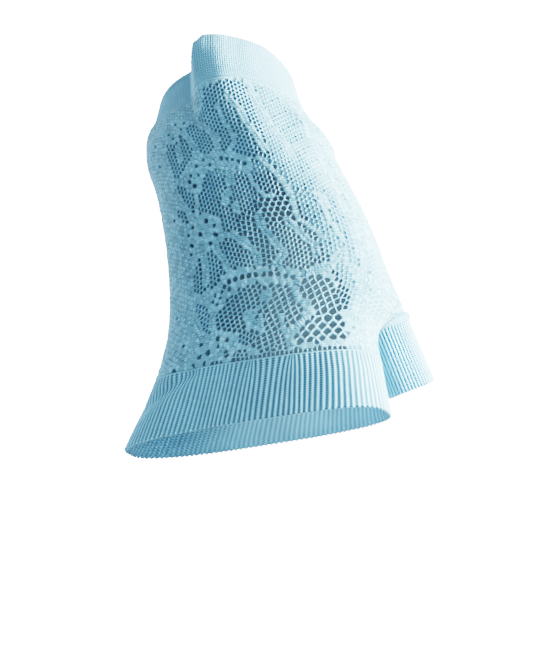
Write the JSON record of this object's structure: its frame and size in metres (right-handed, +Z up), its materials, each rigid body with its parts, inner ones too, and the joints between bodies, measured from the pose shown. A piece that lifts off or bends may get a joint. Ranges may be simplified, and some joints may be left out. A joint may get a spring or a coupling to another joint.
{
  "type": "fingerless glove",
  "caption": "Right-hand fingerless glove of light blue machine-knitted lace, with a ribbed wrist welt, thumb cuff and finger band, in its worn form.",
  "frame": {"origin": "middle of the wrist opening, where a hand holds the glove up from inside", "axes": "+Z up towards the forearm, -Y the back of the hand, +X the thumb side"},
  "size_m": [0.101, 0.0538, 0.1513],
  "materials": {
    "wrist_rib": "light blue fine rib knit in combed cotton and polyamide",
    "lace_knit": "light blue openwork knit in combed cotton and polyamide",
    "thumb_rib": "light blue rib knit in combed cotton and polyamide",
    "hem_rib": "light blue rib knit in combed cotton and polyamide"
  },
  "bodies": {
    "root": {"wrist_welt": "wrist_rib", "lace_body": "lace_knit", "thumb_cuff": "thumb_rib", "finger_band": "hem_rib"}
  },
  "joints": []
}
